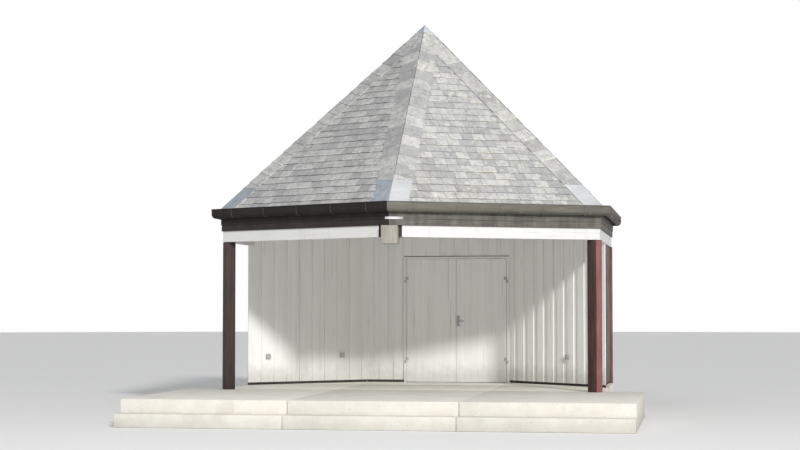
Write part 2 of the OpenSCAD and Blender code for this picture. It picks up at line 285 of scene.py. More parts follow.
class Graph:
    """Adds nodes to one shader tree. A socket takes a value or the output that feeds it."""

    def __init__(self, tree):
        self.tree = tree

    def add(self, kind, sockets, **settings):
        """A node's outputs, after its settings and its inputs are set."""
        made = self.tree.nodes.new("ShaderNode" + kind)
        for key, value in settings.items():
            setattr(made, key, value)
        for key, value in sockets.items():
            if isinstance(value, bpy.types.NodeSocket):
                self.tree.links.new(value, made.inputs[key])
            else:
                made.inputs[key].default_value = value
        return made.outputs

    def used(self, group, sockets):
        return self.add("Group", sockets, node_tree=group)

    def noise(self, where, scale, detail, rough):
        sockets = {"Vector": where, "Scale": scale, "Detail": detail, "Roughness": rough}
        return self.add("TexNoise", sockets)[0]

    def stretched(self, where, scale):
        return self.add("Mapping", {"Vector": where, "Scale": scale})[0]

    def rise(self, value, low, high, top=1.0):
        """A soft step from 0 at low to top at high."""
        sockets = {"Value": value, "From Min": low, "From Max": high, "To Min": 0.0, "To Max": top}
        return self.add("MapRange", sockets, interpolation_type="SMOOTHSTEP")[0]

    def spread(self, value, low, high, start=0.0, end=1.0):
        """A straight change from low at start to high at end."""
        sockets = {"Value": value, "From Min": start, "From Max": end, "To Min": low, "To Max": high}
        return self.add("MapRange", sockets)[0]

    def sums(self, operation, a, b):
        return self.add("Math", {0: a, 1: b}, operation=operation)[0]

    def plus(self, a, b):
        return self.sums("ADD", a, b)

    def minus(self, a, b):
        return self.sums("SUBTRACT", a, b)

    def times(self, a, b):
        return self.sums("MULTIPLY", a, b)

    def most(self, a, b):
        return self.sums("MAXIMUM", a, b)

    def mix(self, share, a, b, blend="MIX"):
        """Mixes two colours, each an output or red, green and blue."""
        a, b = [part if isinstance(part, bpy.types.NodeSocket) else (*part, 1) for part in (a, b)]
        return self.add("Mix", {0: share, 6: a, 7: b}, data_type="RGBA", blend_type=blend)[2]

    def shade(self, value, low, high, dark, light):
        """A colour between dark and light by a value."""
        return self.mix(self.rise(value, low, high), dark, light)


def dim(colour, by):
    """A darker shade of a colour."""
    return [part * by for part in colour]


def group(name, takes, gives, build):
    """A shader node group; build gets a graph and the inputs, and returns the outputs in order."""
    tree = bpy.data.node_groups.new(name, "ShaderNodeTree")
    for label, kind in takes:
        tree.interface.new_socket(label, in_out="INPUT", socket_type="NodeSocket" + kind)
    for label in gives:
        tree.interface.new_socket(label, in_out="OUTPUT", socket_type="NodeSocketFloat")
    entry = tree.nodes.new("NodeGroupInput")
    leave = tree.nodes.new("NodeGroupOutput")
    for number, made in enumerate(build(Graph(tree), entry.outputs)):
        tree.links.new(made, leave.inputs[number])
    return tree


def wood_figure(graph, takes):
    """Growth rings drawn out along the board, fine fibres and drying cracks."""
    where = takes["Grain"]
    bend = graph.noise(graph.stretched(where, (0.7, 5, 5)), 1.0, 2.0, 0.55)
    rings = graph.add("TexWave", {"Vector": graph.stretched(where, (0.22, 5.5, 5.5)), "Scale": takes["Rings"],
                                  "Distortion": graph.times(bend, 26.0), "Detail": 3.0, "Detail Scale": 1.6},
                      wave_type="BANDS", bands_direction="Y")[1]
    fibre = graph.noise(graph.stretched(where, (3, 150, 150)), 1.0, 5.0, 0.65)
    crack = graph.rise(graph.noise(graph.stretched(where, (0.9, 60, 60)), 1.0, 3.0, 0.5), 0.66, 0.74)
    figure = graph.plus(graph.times(rings, 0.40), graph.times(fibre, 0.60))
    return figure, crack, graph.minus(figure, graph.times(crack, 1.6))


def weather_marks(graph, takes):
    """Broad blotches, rain streaks and small specks over the whole building."""
    where = takes["Place"]
    broad = graph.noise(where, 1.7, 5.0, 0.6)
    streak = graph.noise(graph.stretched(where, (9, 9, 0.55)), 1.0, 5.0, 0.6)
    speck = graph.rise(graph.noise(where, 55.0, 3.0, 0.5), 0.60, 0.72)
    return broad, streak, speck


def splash_dirt(graph, takes):
    """Dirt that rises from the deck, ragged at its upper edge."""
    height = graph.add("SeparateXYZ", {0: takes["Place"]})[2]
    ragged = graph.times(graph.noise(takes["Place"], 6.0, 5.0, 0.65), takes["Reach"])
    above = graph.minus(graph.minus(height, takes["Foot"]), ragged)
    return (graph.minus(1.0, graph.rise(above, -0.12, 0.22)),)


def lichen_crusts(graph, takes):
    """Crusts of lichen of two sizes with ragged rims, and how old each one is."""
    fret = graph.noise(takes["Place"], 46.0, 5.0, 0.75)
    shares = []
    for scale in (8.5, 21.0):
        cell = graph.add("TexVoronoi", {"Vector": takes["Place"], "Scale": scale, "Randomness": 1.0})
        age = graph.add("SeparateColor", {0: cell["Color"]})[0]
        reach = graph.times(graph.sums("POWER", age, 1.6), 0.62)
        rim = graph.plus(cell["Distance"], graph.times(graph.minus(fret, 0.5), 0.9))
        shares.append(graph.rise(graph.minus(reach, rim), -0.02, 0.10))
    return graph.most(*shares), age


def sun_side(graph, takes):
    """How far a face looks towards the key light's side; finishes use it for sun bleaching and also for painted
    sunlight and painted shade.
    """
    flat = graph.add("VectorMath", {0: takes["Normal"], 1: (1.0, 1.0, 0.0)}, operation="MULTIPLY")[0]
    level = graph.add("VectorMath", {0: flat}, operation="NORMALIZE")[0]
    return (graph.add("VectorMath", {0: level, 1: (0.86, -0.5, 0.0)}, operation="DOT_PRODUCT")["Value"],)


PLACE = ("Place", "Vector")
WOOD = group("wood_figure", [("Grain", "Vector"), ("Rings", "Float")], ["Figure", "Crack", "Height"],
             wood_figure)
WEATHER = group("weather_marks", [PLACE], ["Broad", "Streak", "Speck"], weather_marks)
SPLASH = group("splash_dirt", [PLACE, ("Foot", "Float"), ("Reach", "Float")], ["Dirt"], splash_dirt)
LICHEN = group("lichen_crusts", [PLACE], ["Crust", "Age"], lichen_crusts)
SUN = group("sun_side", [("Normal", "Vector")], ["Aim"], sun_side)


# Finishes

class Finish(Graph):
    """A procedural material, with the places and the marks on each mesh that its textures use."""

    def __init__(self, name, metallic=0.0, specular=0.35):
        self.material = bpy.data.materials.new(name)
        self.material.use_nodes = True
        super().__init__(self.material.node_tree)
        self.shader = self.tree.nodes["Principled BSDF"].inputs
        self.shader["Metallic"].default_value = metallic
        self.shader["Specular IOR Level"].default_value = specular
        coords = self.add("TexCoord", {})
        self.place = coords["Object"]
        self.normal = coords["Normal"]
        self.grain = self.attribute("grain", "Vector")
        self.tone = self.attribute("tone", "Fac")

    def attribute(self, name, output):
        return self.add("Attribute", {}, attribute_name=name)[output]

    def weather(self):
        return self.used(WEATHER, {"Place": self.place})

    def dirt(self, foot, reach):
        return self.used(SPLASH, {"Place": self.place, "Foot": foot, "Reach": reach})[0]

    def sunny(self, low=0.25, high=0.75):
        return self.rise(self.used(SUN, {"Normal": self.normal})[0], low, high)

    def done(self, colour, rough, height, strength, depth):
        """The finished material, with its relief as bump."""
        bump = self.add("Bump", {"Height": height, "Strength": strength, "Distance": depth})[0]
        for name, value in (("Base Color", colour), ("Roughness", rough), ("Normal", bump)):
            self.tree.links.new(value, self.shader[name])
        return self.material


def painted_timber(name, light, dull, under, foot=DECK, reach=0.35, flake=0.735):
    """Painted boards: board to board differences, streaks, splashed foot, small flakes down to the wood."""
    look = Finish(name)
    wood = look.used(WOOD, {"Grain": look.grain, "Rings": 2.6})
    weather = look.weather()
    colour = look.mix(look.rise(look.tone, 0.0, 1.0, 0.55), light, dull)
    colour = look.mix(look.rise(weather["Streak"], 0.5, 0.78, 0.3), colour, dim(dull, 0.72))
    colour = look.mix(look.rise(wood["Figure"], 0.55, 0.95, 0.16), colour, dim(dull, 0.75))
    colour = look.mix(look.times(look.dirt(foot, reach), 0.42), colour, (0.30, 0.29, 0.24))
    flakes = look.noise(look.stretched(look.grain, (6, 26, 26)), 1.0, 6.0, 0.62)
    flakes = look.rise(flakes, flake, flake + 0.025)
    colour = look.mix(flakes, colour, under)
    colour = look.mix(look.times(wood["Crack"], 0.5), colour, dim(under, 0.5))
    rough = look.spread(look.plus(weather["Broad"], flakes), 0.38, 0.68)
    relief = look.minus(wood["Height"], look.times(flakes, 0.8))
    return look.done(colour, rough, relief, 0.35, 0.0012)


def stained_timber(name, deep, faded, bleached_and_sunlit, by_sun=1.0, rings=3.2, worn_share=0.35, bump=0.6,
                   sunny=(0.25, 0.75)):
    """Stained or bare boards that have greyed where sun and rain reach them; on the faces towards the key light
    the faded colour is partly painted sunlight.
    """
    look = Finish(name, specular=0.25)
    wood = look.used(WOOD, {"Grain": look.grain, "Rings": rings})
    weather = look.weather()
    colour = look.shade(wood["Figure"], 0.25, 0.85, deep, faded)
    colour = look.mix(look.rise(look.tone, 0.0, 1.0, 0.35), colour, dim(deep, 0.62))
    patches = look.plus(look.times(weather["Broad"], 0.6), look.times(weather["Streak"], 0.5))
    worn = look.rise(patches, 0.42, 0.72)
    colour = look.mix(look.times(worn, worn_share), colour, bleached_and_sunlit)
    # Faces towards the key light take the faded colour: partly sun bleaching, partly painted sunlight. Where the
    # deep colour stays, on the other faces, it stands partly for painted shade.
    share = look.times(look.sunny(*sunny), look.spread(worn, 0.45 * by_sun, 0.95 * by_sun))
    colour = look.mix(share, colour, look.shade(wood["Figure"], 0.2, 0.9, dim(bleached_and_sunlit, 0.6), bleached_and_sunlit))
    colour = look.mix(wood["Crack"], colour, dim(deep, 0.35))
    rough = look.spread(wood["Figure"], 0.55, 0.85)
    return look.done(colour, rough, wood["Height"], bump, 0.0025)


def split_slate(name, deep, pale, lichen, painted_shade=0.82):
    """Grey slate: each one of its own tone, split ridges, lichen in pale crusts, moss and rain streaks, painted
    shade on the faces turned from the key light, and more pale lichen, partly painted sunlight, on the faces
    towards it.
    """
    look = Finish(name, specular=0.4)
    weather = look.weather()
    cleft = look.noise(look.stretched(look.grain, (16, 34, 34)), 1.0, 6.0, 0.6)
    mottle = look.noise(look.grain, 11.0, 6.0, 0.7)
    colour = look.mix(look.rise(look.tone, 0.05, 0.95), deep, pale)
    colour = look.mix(look.rise(mottle, 0.42, 0.68, 0.65), colour, dim(deep, 0.62))
    colour = look.mix(look.rise(weather["Broad"], 0.5, 0.75, 0.35), colour, (0.22, 0.205, 0.18))
    sun = look.sunny()
    # Painted shade: faces turned from the key light are darkened by this factor.
    colour = look.mix(look.minus(1.0, sun), colour, (painted_shade, painted_shade, painted_shade * 1.02), "MULTIPLY")

    crust, age = look.used(LICHEN, {"Place": look.place})
    patches = look.rise(look.noise(look.place, 2.6, 5.0, 0.65), 0.36, 0.62)
    fret = look.times(look.noise(look.place, 26.0, 3.0, 0.6), 0.22)
    edge = look.rise(look.plus(look.attribute("tail", "Fac"), fret), 0.93, 1.0)
    edge = look.times(edge, look.rise(look.tone, 0.62, 0.85))
    spots = look.most(look.times(crust, patches), edge)
    # More pale lichen on faces towards the key light: partly real growth, partly painted sunlight.
    share = look.spread(sun, lichen * 0.6, lichen * 1.25)
    growth = look.mix(age, (0.74, 0.735, 0.69), (0.50, 0.505, 0.44))
    colour = look.mix(look.times(spots, share), colour, growth)
    crumbs = look.rise(look.noise(look.place, 120.0, 3.0, 0.6), 0.56, 0.66)
    colour = look.mix(look.times(crumbs, share), colour, (0.60, 0.59, 0.53))
    moss = look.rise(look.noise(look.place, 24.0, 5.0, 0.7), 0.60, 0.70)
    moss = look.times(moss, look.rise(weather["Streak"], 0.5, 0.7))
    colour = look.mix(look.times(moss, 0.45), colour, (0.13, 0.125, 0.06))
    rough = look.spread(mottle, 0.5, 0.85)
    return look.done(colour, rough, look.plus(cleft, look.times(spots, 0.4)), 0.7, 0.004)


def sheet_metal(name, clean, dull, metallic, rough, bleached_and_sunlit=None, stain=(0.16, 0.14, 0.12), bump=0.15,
                specular=0.4):
    """Sheet metal, coated or bare: dust, run marks, small dents, and a lighter colour on faces towards the key
    light that is partly weathering, partly painted sunlight.
    """
    look = Finish(name, metallic, specular)
    weather = look.weather()
    colour = look.shade(weather["Broad"], 0.3, 0.7, clean, dull)
    colour = look.mix(look.rise(weather["Streak"], 0.48, 0.75, 0.5), colour, stain)
    # Faces towards the key light turn to the lighter colour: partly weathering, partly painted sunlight. The
    # darker base left on the other faces stands partly for painted shade.
    if bleached_and_sunlit:
        drift = look.noise(look.stretched(look.place, (2, 2, 14)), 1.0, 5.0, 0.65)
        share = look.times(look.sunny(), look.spread(drift, 0.55, 1.0, 0.3, 0.7))
        colour = look.mix(share, colour, bleached_and_sunlit)
    colour = look.mix(look.times(weather["Speck"], 0.06), colour, (0.42, 0.40, 0.35))
    rougher = look.spread(weather["Broad"], rough, rough + 0.2, 0.3, 0.7)
    dents = look.plus(look.noise(look.place, 9.0, 3.0, 0.5), look.times(weather["Speck"], 0.3))
    return look.done(colour, rougher, dents, bump, 0.01)


def cast_concrete(name, pale, warm):
    """Trowelled concrete: clouds, pinholes, fine aggregate, and dirt at the ground."""
    look = Finish(name, specular=0.3)
    weather = look.weather()
    cloud = look.noise(look.place, 3.2, 7.0, 0.68)
    colour = look.shade(cloud, 0.32, 0.7, warm, pale)
    colour = look.mix(look.rise(look.tone, 0.0, 1.0, 0.18), colour, dim(warm, 0.78))
    colour = look.mix(look.rise(weather["Broad"], 0.52, 0.72, 0.28), colour, (0.52, 0.49, 0.43))
    sand = look.noise(look.place, 160.0, 3.0, 0.7)
    colour = look.mix(look.rise(sand, 0.55, 0.75, 0.3), colour, (0.42, 0.39, 0.34))
    pits = look.rise(look.noise(look.place, 70.0, 2.0, 0.5), 0.68, 0.74)
    colour = look.mix(look.times(pits, 0.6), colour, (0.2, 0.18, 0.16))
    colour = look.mix(look.times(look.dirt(0.0, 0.16), 0.30), colour, (0.25, 0.235, 0.20))
    rough = look.spread(cloud, 0.62, 0.92)
    return look.done(colour, rough, look.minus(look.times(sand, 0.4), look.times(pits, 1.5)), 0.5, 0.002)


WHITE = painted_timber("white_board_paint", (0.93, 0.93, 0.915), (0.87, 0.87, 0.85), (0.50, 0.45, 0.38))
WHITE_HIGH = painted_timber("white_beam_paint", (0.76, 0.76, 0.745), (0.69, 0.685, 0.66),
                            (0.45, 0.40, 0.33), foot=-2.0, flake=0.71)
# Red-brown post stain: the pink faded colour on the face towards the key light is painted sunlight.
RED_BROWN = stained_timber("red_brown_stain_painted_sun", (0.040, 0.026, 0.022), (0.085, 0.052, 0.043),
                           (0.49, 0.19, 0.185), by_sun=0.95, worn_share=0.06, sunny=(0.88, 0.96))
# Darker copy of the post stain for the left posts: painted shade.
PAINTED_SHADE_BROWN = stained_timber("brown_stain_painted_shade", (0.030, 0.022, 0.020), (0.062, 0.042, 0.037),
                              (0.20, 0.10, 0.09), by_sun=0.0, worn_share=0.06)
DARK = stained_timber("dark_board_stain", (0.075, 0.055, 0.045), (0.15, 0.115, 0.095), (0.30, 0.275, 0.245),
                      by_sun=0.7)
# Fascia: the near-black deep colour paints shade on the sides turned from the key light; the pale faded colour
# paints sunlight on the sides towards it.
FASCIA = stained_timber("fascia_stain_painted_sun_shade", (0.020, 0.017, 0.015), (0.040, 0.034, 0.030), (0.245, 0.23, 0.205),
                        worn_share=0.06)
GREY = stained_timber("bare_grey_timber", (0.27, 0.25, 0.21), (0.50, 0.475, 0.41), (0.56, 0.54, 0.48),
                      by_sun=0.3, rings=5.0, bump=0.9)
INNER = stained_timber("sawn_softwood", (0.40, 0.28, 0.16), (0.58, 0.44, 0.29), (0.55, 0.47, 0.36),
                       by_sun=0.0)
SLATE = split_slate("roof_slate", (0.42, 0.42, 0.425), (0.62, 0.617, 0.605), 0.75)
HIP_SLATE = split_slate("hip_slate", (0.40, 0.40, 0.405), (0.64, 0.635, 0.62), 0.7)
# Near-black finish that paints shadow: under the wall boards and in the joints beside the corner block.
SHADOW_DARK = stained_timber("painted_shadow_dark", (0.022, 0.020, 0.018), (0.05, 0.046, 0.04), (0.09, 0.085, 0.08),
                      by_sun=0.0)
UNDERLAY = stained_timber("roof_boarding", (0.05, 0.045, 0.04), (0.10, 0.09, 0.08), (0.15, 0.14, 0.12),
                          by_sun=0.0)
LEAD = sheet_metal("grey_sheet_metal", (0.36, 0.40, 0.46), (0.27, 0.30, 0.35), 0.35, 0.42,
                   bleached_and_sunlit=(0.66, 0.665, 0.67))
ZINC = sheet_metal("bright_zinc", (0.80, 0.80, 0.80), (0.62, 0.62, 0.61), 0.15, 0.4)
# Gutters, straps and downpipe: the near-black coating paints shade on the sides turned from the key light; the
# lighter colour paints sunlight on the sides towards it.
GUTTER = sheet_metal("gutter_coating_painted_sun_shade", (0.014, 0.0125, 0.012), (0.024, 0.021, 0.019), 0.0, 0.6,
                     bleached_and_sunlit=(0.19, 0.178, 0.155), stain=(0.03, 0.027, 0.024), specular=0.2)
STEEL = sheet_metal("hinge_steel", (0.60, 0.60, 0.59), (0.48, 0.475, 0.46), 0.35, 0.42, bump=0.1)
FITTING = sheet_metal("grey_fitting_plastic", (0.45, 0.46, 0.46), (0.37, 0.375, 0.375), 0.0, 0.45,
                      bump=0.05)
STONE = cast_concrete("stage_concrete_finish", (0.81, 0.79, 0.73), (0.74, 0.71, 0.645))

FINISHES = {
    "stage_concrete": STONE, "red_brown_timber": RED_BROWN, "white_timber": WHITE, "grey_timber": GREY,
    "inner_timber": INNER, "slate": SLATE, "grey_metal": LEAD, "dark_timber": DARK, "dark_metal": GUTTER,
    "grey_fitting": FITTING,
}
for part in frame["record"]["subparts"]:
    solid = nodes[part["node"]]
    solid.data.materials.clear()
    solid.data.materials.append(FINISHES[part["material_slot"]])


# Roof

GAUGE = 0.150
COURSE_SLIP = 0.0035
SLATE_LONG = 0.192
SLATE_THICK = 0.009
SLATE_LIFT = 0.0045
UNDER_LIFT = -0.0062
SLATE_FALL = 0.0165
SLATE_WIDTHS = [0.165, 0.185, 0.2, 0.215, 0.235, 0.205]
SLATE_JOINT = 0.0035
SLATE_SKEW = 0.007
SLATING = 0.0205
HIP_WIDE = 0.290
HIP_GAP = 0.005
HIP_TUCK = -0.012
HIP_PLAY = 0.0008
HIP_SLATE_WIDE = HIP_WIDE + 0.04
HIP_LONG = 0.285
HIP_THICK = 0.014
HIP_STEP = 0.25
HIP_FALL = 0.012 / 0.28
HIP_LIFT = 0.0205
HIP_START = 0.46
HIP_FOOT_TOP = 0.52
LEAN = math.atan(TAN_30 * math.cos(PITCH))


def slate_pattern(seed, wide, long_way, thick, strips, arris, slip, lift=0.0, broken=0.0):
    """One split slate, its head along +X, its tail ragged and its upper edges dressed off."""
    draw = random.Random(seed)
    piece = block((0, -wide / 2, -thick), (long_way, wide / 2, 0))
    with editing(piece):
        for strip in range(1, strips):
            bpy.ops.mesh.select_all(action="SELECT")
            bpy.ops.mesh.bisect(plane_co=(0, wide * (strip / strips - 0.5), 0), plane_no=(0, 1, 0))

    def dressed(mid, way):
        at_edge = mid.x < NEAR or abs(abs(mid.y) - wide / 2) < NEAR
        return mid.z > -NEAR and at_edge and mid.x < long_way - NEAR

    ease_edges(piece, arris, dressed)
    corner = bool(broken) and draw.random() < broken
    shift = {}
    for vertex in piece.data.vertices:
        if vertex.co.x < 0.01:
            slid = draw.uniform(-slip, slip)
            raised = draw.uniform(-lift, lift) if lift else 0.0
            move = shift.setdefault(round(vertex.co.y, 2), (slid, raised))
            vertex.co.x += move[0]
            vertex.co.z += move[1]
            if corner and vertex.co.y > wide / 2 - 0.012:
                vertex.co.x += draw.uniform(0.006, 0.014)

    # How near each point lies to the tail, for the growth along the lower edge
    layer = piece.data.attributes.new("tail", "FLOAT", "POINT")
    for spot, vertex in zip(layer.data, piece.data.vertices):
        spot.value = max(0.0, 1.0 - vertex.co.x / long_way)
    return piece


def slope_frame(i):
    """Out, left, up the slope and away from it, on side i."""
    out, left = side_frame(i)
    climb = -out * math.cos(PITCH) + UP * math.sin(PITCH)
    return out, left, climb, out * math.sin(PITCH) + UP * math.cos(PITCH)


def cut_at_hips(piece, i, backs):
    """Cuts a slope's layer along lines that lie that far inside its right and left hips."""
    left, climb = slope_frame(i)[1:3]
    for sign, back in zip((-1, 1), backs):
        facing = left * sign * math.cos(LEAN) + climb * math.sin(LEAN)
        cut(piece, UP * APEX - facing * back, facing)


def roof_boarding(i):
    """The boarding under the slates: the slope's own solid without its slating."""
    left, climb, face = slope_frame(i)[1:]
    piece = taken("roof_" + SIDES[i])
    cut(piece, UP * APEX - face * SLATING, face)
    mark(piece, along=left, across=climb)
    fitted(piece, "boarding_" + SIDES[i], UNDERLAY, ["roof_" + SIDES[i]])


def slating(i, patterns):
    """Courses of slates up one slope, half bonded by chance widths, and an under-course at the eaves."""
    out, left, climb, face = slope_frame(i)
    tilt = math.asin(SLATE_FALL / SLATE_LONG)
    along = climb * math.cos(tilt) - face * math.sin(tilt)
    eaves = out * SLATE_AP + UP * SLATE_LOW
    made = []
    course = -1
    while True:
        up_by = max(0.0, course * GAUGE)
        half = (SLATE_AP - up_by * math.cos(PITCH)) * TAN_30 - HIP_WIDE / math.cos(LEAN) + 0.03
        if half < 0.04:
            break
        lift = SLATE_LIFT if course >= 0 else UNDER_LIFT
        at = -half - chance.uniform(0.0, 0.16)
        while at < half:
            which = chance.randrange(len(patterns))
            at += SLATE_WIDTHS[which] / 2
            start = eaves + climb * (up_by + chance.uniform(-COURSE_SLIP, COURSE_SLIP)) + left * at
            start += face * (lift + chance.uniform(-0.0015, 0.0025))
            turn = chance.uniform(-SLATE_SKEW, SLATE_SKEW)
            across = (-left * math.cos(turn) + climb * math.sin(turn)).normalized()
            square = along.cross(across).cross(along).normalized()
            made.append(laid(patterns[which], start, along, -square))
            at += SLATE_WIDTHS[which] / 2 + SLATE_JOINT
        course += 1
    piece = joined(made)
    cut_at_hips(piece, i, (HIP_WIDE + HIP_TUCK, HIP_WIDE + (HIP_GAP if i == 0 else HIP_TUCK)))
    fitted(piece, "slates_" + SIDES[i], SLATE, ["roof_" + SIDES[i]])


def hip_slates(patterns):
    """Wider slates laid in a strip along both sides of every hip, cut to meet on the hip line."""
    made = []
    hip_long = SLATE_AP / math.cos(PITCH) / math.cos(LEAN)
    tilt = math.asin(HIP_FALL)
    for i in range(6):
        out, left, climb, face = slope_frame(i)
        eaves = out * SLATE_AP + UP * SLATE_LOW
        run = []
        for sign in (-1, 1):
            hip = (climb * math.cos(LEAN) - left * sign * math.sin(LEAN)).normalized()
            inward = (-left * sign * math.cos(LEAN) - climb * math.sin(LEAN)).normalized()
            corner = eaves + left * sign * SLATE_AP * TAN_30
            along = hip * math.cos(tilt) - face * math.sin(tilt)
            at = HIP_START
            while at < hip_long - 0.12:
                start = corner + hip * (at + chance.uniform(-0.003, 0.003)) + inward * (HIP_WIDE / 2 - 0.02)
                start += face * (HIP_LIFT + chance.uniform(-0.001, 0.001))
                across = face.cross(hip).normalized()
                run.append(laid(patterns[chance.randrange(len(patterns))], start, along, across))
                at += HIP_STEP
        layer = joined(run)
        cut_at_hips(layer, i, (HIP_PLAY, HIP_PLAY))
        made.append(cut(layer, eaves + climb * HIP_FOOT_TOP, -climb))
    fitted(joined(made), "hip_slates", HIP_SLATE, ["hip_strips"])


slates = [slate_pattern(number, wide, SLATE_LONG, SLATE_THICK, strips=6, arris=0.0022, slip=0.0035,
                        lift=0.0012, broken=0.4) for number, wide in enumerate(SLATE_WIDTHS)]
for i in range(6):
    roof_boarding(i)
    slating(i, slates)
drop(*slates)
slates = [slate_pattern(number, HIP_SLATE_WIDE, HIP_LONG, HIP_THICK, strips=5, arris=0.002, slip=0.003)
          for number in range(4)]
hip_slates(slates)
drop(*slates)
fitted(ease(taken("hip_feet"), 0.0025, 2), "hip_foot_plates", LEAD, ["hip_feet"])
fitted(ease(taken("apex_cap"), 0.003, 2), "apex_cap_folded", LEAD, ["apex_cap"])


# Eaves

LOWER_BOARD = 0.105
BOARD_LAP = 0.010
LOWER_BACK = 0.009
RIM_R = 0.0085
COLLARS = (-1.46, 0.31, 1.46)
COLLAR_HALF = 0.028
COLLAR_OUT = 0.0022
PIPE_R = 0.04
PIPE_COLLAR_R = 0.0445
PIPE_COLLARS = ((1.02, 0.07), (2.56, 0.07), (0.03, 0.06))
PIPE_COLLAR_T = 0.0035


def fascia_boards():
    """An upper board that laps over a thinner lower one, along each side, mitred at the corners."""
    low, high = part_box("fascia")
    half = FASCIA_AP * TAN_30 + 0.02
    made = []
    for i in range(6):
        for foot, top, outer in (
            (low.z, low.z + LOWER_BOARD, FASCIA_AP - LOWER_BACK),
            (low.z + LOWER_BOARD - BOARD_LAP, high.z - 0.001, FASCIA_AP),
        ):
            board = ease(block((BEAM_AP + CLEAR, -half, foot), (outer, half, top)), 0.0025)
            mark(board, along=Y, across=UP)
            to_side(board, i)
            made.append(mitre(board, i))
    fitted(joined(made), "fascia_boards", FASCIA, ["fascia"])


def gutter_run(i):
    """The gutter's own channel with a rolled front rim and joint collars."""
    node = "gutter_" + SIDES[i]
    left = side_frame(i)[1]
    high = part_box("gutter_right")[HIGH]
    half = high.x * TAN_30 + 0.03
    rim = rod(RIM_R, 2 * half, (high.x - 0.003, 0, high.z - 0.002), (math.pi / 2, 0, 0), 12)
    to_side(rim, i)
    made = [taken(node), mitre(rim, i, CLEAR)]
    for at in COLLARS:
        collar = taken(node)
        cut(collar, left * (at + COLLAR_HALF), left)
        cut(collar, left * (at - COLLAR_HALF), -left)
        with editing(collar):
            bpy.ops.transform.shrink_fatten(value=COLLAR_OUT)
        made.append(collar)
    for part in made:
        mark(part, along=left, across=UP)
    fitted(joined(made), node + "_run", GUTTER, [node], smooth=40)


def downpipe_run():
    """The pipe with its socket joints."""
    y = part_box("downpipe")[HIGH].y - PIPE_R
    made = [taken("downpipe")]
    for z, tall in PIPE_COLLARS:
        collar = rod(PIPE_COLLAR_R, tall, (0, y, z), sides=32)
        with editing(collar, "DESELECT") as work:
            for face in work.faces:
                face.select_set(abs(face.normal.z) > 0.9)
            bmesh.update_edit_mesh(collar.data)
            bpy.ops.mesh.inset(thickness=PIPE_COLLAR_T)
            bpy.ops.mesh.bridge_edge_loops()
        made.append(collar)
    fitted(joined(made), "downpipe_run", GUTTER, ["downpipe"], smooth=40)


fascia_boards()
for i in range(6):
    gutter_run(i)
fitted(ease(taken("gutter_brackets"), 0.0012), "gutter_straps", GUTTER, ["gutter_brackets"])
downpipe_run()


# Timber frame and ceiling

POSTS = {"front_right": 1, "rear_right": 2, "rear": 3, "rear_left": 4, "front_left": 5}
JOINT_AT = 0.172
JOINT_SEAM = 0.0004
SHADOW_PIECE_BACK = 0.03
STRAP_LOW, STRAP_HIGH = 2.948, 2.984
STRAP_T = 0.0025
STRAP_RIGHT, STRAP_LEFT = 0.19, 0.06
CEILING_BOARD = 0.117
CEILING_PITCH = 0.118
CEILING_LONG = 7.0
CEILING_GROOVE = 0.006


def posts():
    """The posts; the left ones take a darker copy of the stain without the sunlit face, as painted shade."""
    for side, corner in POSTS.items():
        node = "post_" + side
        piece = ease(taken(node), 0.009, 2)
        mark(piece, along=UP, across=heading(60 * corner))
        finish = PAINTED_SHADE_BROWN if "left" in side else RED_BROWN
        fitted(piece, "timber_" + node, finish, [node])


def beams():
    """The ring beams; the two in front stop short of the open corner's block."""
    for i, side in enumerate(SIDES):
        node = "beam_" + side
        piece = taken(node)
        if i in (0, 5):
            sign = 1 if i == 0 else -1
            cut(piece, X * sign * JOINT_AT, -X * sign)
        ease(piece, 0.004, 2)
        mark(piece, along=side_frame(i)[1], across=UP)
        fitted(piece, "timber_" + node, WHITE_HIGH, [node])


def corner_block():
    """The block under the open corner, with near-black pieces between it and the beams' ends that paint the
    shadow in those joints.
    """
    piece = ease(taken("corner_pendant"), 0.007, 2)
    piece.data.materials.append(GREY)
    made = [mark(piece, along=UP, across=X)]
    for i, sign in ((0, 1), (5, -1)):
        out, left = side_frame(i)
        shadow_piece = taken("beam_" + SIDES[i])
        cut(shadow_piece, X * sign * (JOINT_AT + JOINT_SEAM), X * sign)
        cut(shadow_piece, out * (BEAM_AP - SHADOW_PIECE_BACK), out)
        shadow_piece.data.materials.append(SHADOW_DARK)
        made.append(mark(shadow_piece, along=left, across=UP))
    fitted(joined(made), "corner_block", GREY, ["corner_pendant"])


def corner_strap():
    """A bright metal strap folded round the fascia's front corner."""
    half = FASCIA_AP * TAN_30
    made = []
    for i, sign, reach in ((0, 1, STRAP_RIGHT), (5, -1, STRAP_LEFT)):
        plate = block((FASCIA_AP, -half, STRAP_LOW), (FASCIA_AP + STRAP_T, half, STRAP_HIGH))
        to_side(plate, i)
        cut(plate, (0, 0, 0), -X * sign)
        cut(plate, X * sign * reach, X * sign)
        made.append(mark(plate, along=side_frame(i)[1], across=UP))
    fitted(joined(made), "corner_strap", ZINC)


def ceiling_boards():
    """Grooved boards under the roof, cut to the hexagon."""
    low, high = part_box("ceiling")
    pattern = block((0, -CEILING_BOARD / 2, 0), (CEILING_LONG, CEILING_BOARD / 2, high.z - low.z - 0.001))
    ease_edges(pattern, CEILING_GROOVE, lambda mid, way: mid.z < NEAR and abs(way.x) > 1)
    made = []
    at = low.y
    while at < high.y + CEILING_BOARD / 2:
        made.append(laid(pattern, (-CEILING_LONG / 2, at, low.z), X, Y))
        at += CEILING_PITCH
    drop(pattern)
    sides = [side_frame(i)[0] for i in range(6)]
    piece = trimmed(made, [(out * high.x, out) for out in sides])
    fitted(piece, "ceiling_boards", WHITE_HIGH, ["ceiling"])


posts()
beams()
corner_block()
corner_strap()
ceiling_boards()


# Board cladding

